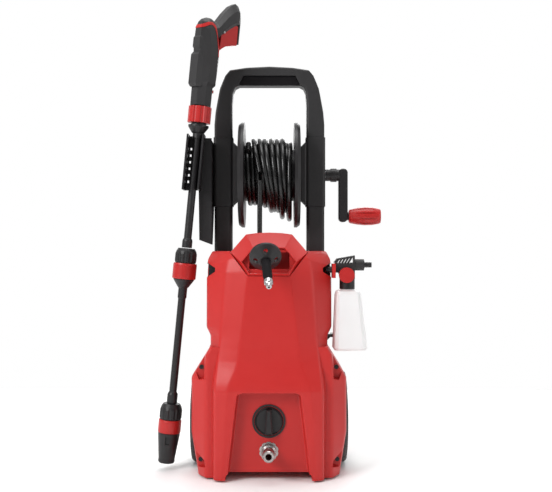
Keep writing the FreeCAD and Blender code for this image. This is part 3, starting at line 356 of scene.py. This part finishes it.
def studio():
    """The backdrop, four soft lamps and a pale floor."""
    backdrop()
    area("key", (-1.9, -1.9, 1.9), (1.3, 1.5), 64)
    area("fill", (2.2, -1.2, 1.0), (1.0, 1.6), 10)
    area("top", (0.0, 0.0, 2.5), (1.6, 1.4), 26, aim=(0, 0, 0.5))
    area("rim", (0.3, 2.2, 1.5), (1.6, 1.0), 18, aim=(0, 0, 0.5))

    def build(bm):
        corners = [(-2.4, -2.6), (2.4, -2.6), (2.4, 1.0), (-2.4, 1.0)]
        bm.faces.new([bm.verts.new((x, y, 0)) for x, y in corners])
    mesh = mesh_from("floor", build)
    mesh.materials.append(FLOOR)
    floor = bpy.data.objects.new("floor", mesh)
    bpy.context.scene.collection.objects.link(floor)


studio()


# ---------------------------------------------------------------- hose
def hose_curve(name, points, body):
    """A hose along one smooth NURBS line."""
    data = bpy.data.curves.new(name, "CURVE")
    data.dimensions = "3D"
    data.bevel_depth = HOSE_D / 2
    data.bevel_resolution = 5
    data.resolution_u = 6
    data.use_fill_caps = True
    line = data.splines.new("NURBS")
    line.points.add(len(points) - 1)
    for at, point in zip(points, line.points):
        point.co = (*at, 1)
    line.order_u = 3
    line.use_endpoint_u = True
    data.materials.append(HOSE)
    obj = bpy.data.objects.new(name, data)
    bpy.context.scene.collection.objects.link(obj)
    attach(obj, body)
    return obj


PER_TURN = 16  # points to a turn
CHORD = 0.985  # a curve through these points runs this much nearer to the axle than they lie
INNER_TURNS = 9
OUTER_TURNS = 6.25
INNER_R = 62.6  # mm, of the first turns, which lie on the drum
SECOND_R = 68.5
OUTER_R = 78.1
SLACK = {0: 21.0, 2: 16.0}  # mm that an outer turn hangs below the rest


def inner_turn(turn):
    """How far along the drum, how far from the axle and how much askew the inner layer lies, in mm."""
    along = -49 + 97 * turn / INNER_TURNS
    radius = INNER_R + (SECOND_R - INNER_R) * min(1, max(0, turn - 1.6))
    return along, radius, 1.0


def outer_turn(back, angle):
    """The same for the outer layer, by the turns made since it began."""
    along = 45 - 65 * back / OUTER_TURNS
    radius = SECOND_R + (OUTER_R - SECOND_R) * min(1, back * 3)
    radius += SLACK.get(int(back), 0.0) * max(0.0, -math.sin(angle))
    lean = (3.0 + 15.0 * back / OUTER_TURNS) * min(1, back * 2)
    return along, radius, lean


def wound_hose():
    """The hose on the drum: an inner layer wound to the right, and a loose outer one that leans and goes
    back to the middle, where it leaves down the front. Two of its turns have slipped and hang slack."""
    points = []
    for i in range(int((INNER_TURNS + OUTER_TURNS) * PER_TURN) + 1):
        turn = i / PER_TURN
        angle = math.radians(90) + 2 * math.pi * turn
        if turn < INNER_TURNS:
            along, radius, lean = inner_turn(turn)
        else:
            along, radius, lean = outer_turn(turn - INNER_TURNS, angle)
        along += 0.7 * math.sin(2.3 * turn) - lean * math.sin(angle)
        radius += 0.8 * math.sin(3.1 * turn + 1.0)
        out = radius * MM / CHORD
        points.append((along * MM, REEL.y + out * math.cos(angle), REEL.z + out * math.sin(angle)))
    return points


EXIT_WAY = Vector((0.077, -0.826, -0.558)).normalized()  # the way that the hose's end points
STOPPER_AT = Vector((-0.0061, -0.150, 0.4485))  # the middle of the stopper's disc
# The free hose's route: down from the turns, through the slot in the hood, into the stopper.
LEAD = [
    (-0.020, -0.0265, 0.612),
    (-0.020, -0.0305, 0.520),
    (-0.020, -0.0305, 0.474),
    (-0.017, -0.058, 0.450),
    (-0.012, -0.092, 0.453),
    tuple(STOPPER_AT - EXIT_WAY * 0.026),
    tuple(STOPPER_AT + EXIT_WAY * 0.011),
]


def hoses():
    """The wound hose and its free end, as NURBS hose curves in place of the CAD's hose nodes."""
    turns = wound_hose()
    coil = hose_curve("hose_turns", turns, "reel")
    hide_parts("hose_coil")
    lead = hose_curve("hose_end", LEAD, "machine")
    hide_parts("hose_lead")


def hose_ferrule():
    """The crimped ferrule on the hose's inner end, beside the reel's left flange."""
    # (radius, height) in mm: a collar, five crimped rings and an eased end
    rows = [(3.0, 0), (5.0, 0), (5.6, 0.8)]
    for i in range(5):
        start = 3 + 4 * i
        rows += [(5.6, start), (5.0, start + 0.5), (5.0, start + 1.3), (5.6, start + 1.8)]
    rows += [(5.6, 26), (4.6, 27), (3.0, 27)]
    low = Vector((-45.5, 8.0, 678.0)) * MM
    high = Vector((-45.5, 27.0, 696.0)) * MM

    def build(bm):
        rings = []
        for radius, height in rows:
            rings.append([bm.verts.new(Vector((x, y, height)) * MM) for x, y in circle(radius, 32)])
        skin(bm, rings)
        bm.transform(axis_frame(low, high - low))
    obj = piece("hose_ferrule", mesh_from("hose_ferrule", build), "reel", BLACK)


hoses()
hose_ferrule()


# ---------------------------------------------------------------- casing
# A height, then (half width, depth) of the front panel's edge, of the crease and of the side's corner, in mm.
LEVELS = [
    (4.0, (96, -137), (110, -132), (116, -100)),
    (188.0, (84, -140), (110, -133), (118, -98)),
    (234.0, (64, -129), (105, -118), (120, -84)),
    (264.0, (61, -126), (102, -113), (121, -76)),
    (288.0, (58, -125), (99, -110), (121.5, -72)),
    (305.0, (56, -124), (98, -109), (130, -70)),
    (420.0, (43, -120), (88, -105), (130, -64)),
    (446.0, (42, -117), (84, -99), (128, -58)),
    (462.0, (41, -108), (80, -89), (120, -50)),
]
# A height, then the half width over the wheel's fender.
FENDER = [(4.0, 146.0), (30.0, 150.0), (90.0, 160.0), (204.0, 160.0), (266.0, 121.5)]
CREASE_R = 3.0  # half of the height over which a crease between two levels is rounded
WAIST = (188.0, 234.0)  # the two levels whose creases are soft
WAIST_R = 12.0
WAIST_FADE = 24.0  # over which the soft crease passes into the crisp one
EDGE_R = 3.0  # round of the deck's edge
BOTTOM_Z = 4.0
DECK_Z = 462.0  # the casing's top
REAR_Y = 122.0
WHEEL = (45.0, 100.0)  # the wheels' axle, y and z
ARCH_R = 108.0
ARCH_X = 123.5, 210  # from the arch's inner wall to beyond the wheel
RECESS_TOP = 178.0  # the recess round the switch: its top, its floor's depth and its corners' radius
RECESS_Y = -114.0
RECESS_R = 8.0
LOUVRE_Z = 300.0  # the lowest louvre in the back
LOUVRE_PITCH = 13.0
LOUVRE_HIGH = 6.0
HOOD = [(-79, 460), (-42, 413), (42, 413), (79, 460)]
HOOD += [(48, 497), (26, 500), (0, 501), (-26, 500), (-48, 497)]
HOOD_BACK_Y = -41
SEAM = 1.0  # the gap round the hood
SOCKET = [(111, 420), (140, 401), (140, 445), (111, 428)]  # accessory socket in the shoulder
SOCKET_Y = -28.0
# The fit and wall of the black cup in each socket, whose black is painted shade for the socket's dark inside.
LINER_FIT = 0.3
LINER_WALL = 0.9
SCREW_POCKETS = [
    [(131, 203), (143, 200), (151, 217), (131, 254)],
    [(129, 24), (149, 20), (152, 54), (131, 38)],
]
SHOULDER_AT = (77, -86, 460)  # a point on the flat that cuts off the front shoulder
SHOULDER_WAY = (0.576, -0.473, 0.666)


def between(rows, z):
    """The rows' values at a height, in a straight line from one row to the next."""
    if z <= rows[0][0]:
        return rows[0][1:]
    for low, high in zip(rows, rows[1:]):
        if z <= high[0]:
            t = (z - low[0]) / (high[0] - low[0])
            return tuple(mix(a, b, t) for a, b in zip(low[1:], high[1:]))
    return rows[-1][1:]


def mix(a, b, t):
    """Between two numbers, or two tuples of them."""
    if isinstance(a, tuple):
        return tuple(mix(p, q, t) for p, q in zip(a, b))
    return a + (b - a) * t


def eased(rows, z, reach):
    """The rows' values averaged over a reach up and down, which rounds the creases between rows."""
    taps = 7
    got = [between(rows, z + reach * (2 * k / (taps - 1) - 1)) for k in range(taps)]
    if isinstance(got[0][0], tuple):
        return [tuple(sum(g[i][j] for g in got) / taps for j in (0, 1)) for i in range(len(got[0]))]
    return [sum(g[i] for g in got) / taps for i in range(len(got[0]))]


def rounded_line(corners, radii, steps):
    """A polyline through corners, each inner corner rounded, with a fixed number of points."""
    points = []
    last = corners[0]
    for i, corner in enumerate(corners[1:-1], 1):
        before, after = Vector(corners[i - 1]), Vector(corners[i + 1])
        here = Vector(corner)
        reach = min(radii[i - 1], 0.45 * (here - before).length, 0.45 * (here - after).length)
        start = here + (before - here).normalized() * reach
        end = here + (after - here).normalized() * reach
        for k in range(steps[i - 1]):
            points.append(Vector(last).lerp(start, k / steps[i - 1]))
        for k in range(6):
            t = k / 6
            points.append(start.lerp(here, t).lerp(here.lerp(end, t), t))
        last = end
    for k in range(steps[-1] + 1):
        points.append(Vector(last).lerp(Vector(corners[-1]), k / steps[-1]))
    return points


def pulled_in(line, distance):
    """The right-hand half line moved towards the casing's inside."""
    if distance <= 0:
        return line
    moved = []
    for i, p in enumerate(line):
        way = line[min(i + 1, len(line) - 1)] - line[max(i - 1, 0)]
        out = Vector((way.y, -way.x)).normalized()
        moved.append(Vector((max(0.0, p.x - out.x * distance) if i else 0.0, p.y - out.y * distance)))
    return moved


def heights(low, high, step, fine=()):
    """Row heights, closer together near each fine height."""
    rows = []
    z = low
    while z < high:
        rows.append(z)
        close = any(abs(z - f) < 6 for f in fine)
        z += 0.6 if close else step
    rows.append(high)
    return rows


def loft(name, lines, body, material):
    """A closed solid through right-hand half lines of the same length, mirrored across x = 0."""
    def build(bm):
        rows = []
        for z, line in lines:
            right = [bm.verts.new((p.x * MM, p.y * MM, z * MM)) for p in line]
            left = [bm.verts.new((-p.x * MM, p.y * MM, z * MM)) for p in reversed(line[1:])]
            rows.append(left + right)
        skin(bm, rows)
    return piece(name, mesh_from(name, build), body, material, SMOOTH_SHELL)


def side_loft(name, lines, body, material, side):
    """A closed solid through half lines, on one side only."""
    def build(bm):
        rows = []
        for z, line in lines:
            rows.append([bm.verts.new((side * p.x * MM, p.y * MM, z * MM)) for p in line])
        skin(bm, rows)
    return piece(name, mesh_from(name, build), body, material)


def top_inset(z):
    """How far the outline pulls in near the deck, to round the deck's edge."""
    over = z - (DECK_Z - EDGE_R)
    if over <= 0:
        return 0.0
    return EDGE_R - math.sqrt(max(0.0, EDGE_R ** 2 - over ** 2))


def recess_half(z):
    """The recess's half width, rounded into its upper corners."""
    half = 62 + (RECESS_TOP - z) * 22 / 188
    over = min(RECESS_R, z - (RECESS_TOP - RECESS_R))
    if over > 0:
        half -= RECESS_R - math.sqrt(RECESS_R ** 2 - over ** 2)
    return half


def crease_reach(z):
    """Half of the height over which the outline is averaged at this height."""
    off = max(0.0, WAIST[0] - z, z - WAIST[1])
    return max(CREASE_R, WAIST_R * (1 - off / WAIST_FADE))


def front_line(z):
    """The front casing's right-hand half outline at a height, with the recess sunk into the panel."""
    panel, crease, corner = eased(LEVELS, z, crease_reach(z))
    t = min(1.0, max(0.0, (RECESS_TOP + 1.2 - z) / 2.4))
    sunk = t * t * (3 - 2 * t)
    half = recess_half(min(z, RECESS_TOP)) if z < RECESS_TOP + 30 else min(panel[0] - 6, 50)
    floor = mix(panel[1], RECESS_Y, sunk)
    corners = [(0, floor), (half, floor), (half + 0.8, panel[1])]
    corners += [panel, crease, corner, (corner[0], SPLIT_Y - 0.3)]
    line = rounded_line(corners, (5 * sunk + 0.1, 3 * sunk + 0.1, 3.5, 6, 9), (10, 5, 5, 6, 5, 16))
    return pulled_in(line, top_inset(z))


def rear_line(z):
    """The rear casing's right-hand half outline at a height."""
    _, _, corner = eased(LEVELS, z, CREASE_R)
    side = corner[0]
    corners = [(0, REAR_Y), (side - 34, REAR_Y), (side - 12, REAR_Y - 10), (side, REAR_Y - 34)]
    line = rounded_line(corners + [(side, SPLIT_Y + 0.7)], (14, 14, 14), (10, 4, 4, 8))
    pull = top_inset(z)
    return [Vector((p.x - pull * min(1, p.x / 40), p.y - (pull if p.y > 100 else 0))) for p in line]


def fender_line(z):
    """The front half of the right wheel's fender at a height."""
    side = eased(FENDER, z, 4.0)[0]
    corners = [(100, SPLIT_Y - 0.3), (100, -113), (min(128, side - 2), -113)]
    corners += [(side, -82), (side, SPLIT_Y - 0.3)]
    return rounded_line(corners, (0.5, 7, 9), (3, 5, 6, 14))


def rear_fender_line(z):
    """The rear half of the same fender."""
    side = eased(FENDER, z, 4.0)[0]
    corners = [(90, SPLIT_Y + 0.7), (90, 114), (side - 10, 114), (side, 104), (side, SPLIT_Y + 0.7)]
    return rounded_line(corners, (0.5, 6, 6), (3, 5, 6, 8))


def mirrored(outline, side):
    """An (x, z) outline on the right (side 1) or on the left (side -1)."""
    return [(side * x, z) for x, z in outline]


def shell_heights(step, fine=()):
    """Row heights up the casing, closer together near the creases and round the deck's edge."""
    low = DECK_Z - EDGE_R
    edge = [low + EDGE_R * math.sin(math.radians(a)) for a in range(15, 91, 15)]
    return heights(BOTTOM_Z, low, step, fine) + edge


def louvres():
    """Cutters for two columns of slots in the back of the casing."""
    slots = []
    for i in range(9):
        low = LOUVRE_Z + LOUVRE_PITCH * i
        high = low + LOUVRE_HIGH
        for left, right in ((-58, -4), (4, 58)):
            slot = [(left, low), (right, low), (right, high), (left, high)]
            slots.append(prism(slot, REAR_Y - 12, REAR_Y + 5))
    return slots


def shell_piece(obj):
    """Gives a casing piece its final shading."""
    shade(obj.data, SMOOTH_SHELL)


def front_shell(creases):
    """The front casing, cut for the hood, the hose, the underside, the sockets and the shoulders' flats."""
    rows = shell_heights(3.0, [RECESS_TOP] + creases)
    shell = loft("casing_front", [(z, front_line(z)) for z in rows], "machine", RED)
    hose_way = [(-42, 440), (2, 440), (2, 480), (-42, 480)]
    belly = [(-84, -5), (84, -5), (88, 10), (84, 16), (-84, 16), (-88, 10)]
    cutters = [prism(grown(HOOD, SEAM), -170, HOOD_BACK_Y), prism(hose_way, -42, -12),
               prism(belly, -170, SPLIT_Y + 1)]
    for side in (-1, 1):
        flip = Vector((side, 1, 1))
        cutters.append(prism(mirrored(SOCKET, side), -140, SOCKET_Y))
        cutters.append(beyond(Vector(SHOULDER_AT) * flip, Vector(SHOULDER_WAY) * flip))
    cut(shell, cutters)
    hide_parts("front_casing")
    shell_piece(shell)


def rear_shell(creases):
    """The rear casing with its louvres."""
    rows = shell_heights(4.0, creases)
    shell = loft("casing_rear", [(z, rear_line(z)) for z in rows], "machine", RED)
    belly = prism([(-84, -5), (84, -5), (84, 16), (-84, 16)], SPLIT_Y, REAR_Y + 5)
    cut(shell, [belly] + louvres())
    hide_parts("rear_casing")
    shell_piece(shell)


def fenders():
    """The skirts over the wheels, in front of and behind the casing's seam, with the screws' pockets."""
    rows = heights(BOTTOM_Z, 268.0, 3)
    for side, word in ((1, "right"), (-1, "left")):
        arch = [side * x for x in ARCH_X]
        pockets = [prism(mirrored(pocket, side), -150, -86) for pocket in SCREW_POCKETS]
        front = side_loft(f"fender_{word}", [(z, fender_line(z)) for z in rows], "machine", RED, side)
        cut(front, pockets + [drum_cutter(WHEEL, ARCH_R, *arch)])
        shell_piece(front)
        lines = [(z, rear_fender_line(z)) for z in rows]
        rear = side_loft(f"fender_rear_{word}", lines, "machine", RED, side)
        cut(rear, [drum_cutter(WHEEL, ARCH_R, *arch)])
        shell_piece(rear)


def socket_shade_liners():
    """A black cup inside each accessory socket: painted shade, a dark sheet that stands in for the shadow
    deep in the socket.
    """
    for side, word in ((1, "right"), (-1, "left")):
        outside = mirrored(grown(SOCKET, -LINER_FIT), side)
        inside = mirrored(grown(SOCKET, -LINER_FIT - LINER_WALL), side)
        shell = prism(outside, -62, SOCKET_Y - LINER_FIT)
        shell.name = f"socket_shade_liner_{word}"
        shell.data.materials.append(BLACK)
        cut(shell, [prism(inside, -70, SOCKET_Y - 1.5)])
        open_side = [(128.5, 395), (150, 395), (150, 450), (128.5, 450)]
        cut(shell, [prism(mirrored(open_side, side), -70, -20)])
        shade(shell.data, SMOOTH_CAD)
        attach(shell, "machine")


level_creases = [z for z, *_ in LEVELS[1:-1]]
front_shell(level_creases)
rear_shell(level_creases)
fenders()
socket_shade_liners()


def soften_cad_nodes():
    """Small rounds on the crisp edges of the CAD nodes that show."""
    rounds = {
        "hose_guide_cover": 1.2, "lance_holder": 0.8, "bracket_left": 1.5, "bracket_right": 1.5,
        "handle_bow": 1.0, "crank_arm": 1.0, "crank_knob": 0.7, "gun_shell": 1.2, "gun_trigger": 1.0,
        "gun_trim": 0.4, "lance_nut": 0.6, "lance_mid_nut": 0.6, "nozzle_nut": 0.6, "lance_mid_ring": 0.6,
        "nozzle_ring": 0.6, "nozzle_body": 0.6, "lance_cone": 0.4,
        "foam_head": 0.9, "foam_knob": 0.5, "foam_cap": 0.7, "switch_knob": 0.7, "switch_bezel": 0.5,
        "inlet_union": 0.5, "reel_flange_left": 0.8, "reel_flange_right": 0.8, "hose_stopper": 0.6,
        "cable_hook": 1.0, "foam_bracket": 0.8, "foam_barrel": 0.6, "hose_nipple": 0.3,
    }
    for name, width in rounds.items():
        mod = nodes[name].modifiers.new("round", "BEVEL")
        mod.width = width * MM
        mod.segments = 3
        mod.limit_method = "ANGLE"
        mod.angle_limit = math.radians(28)
        mod.harden_normals = False


soften_cad_nodes()
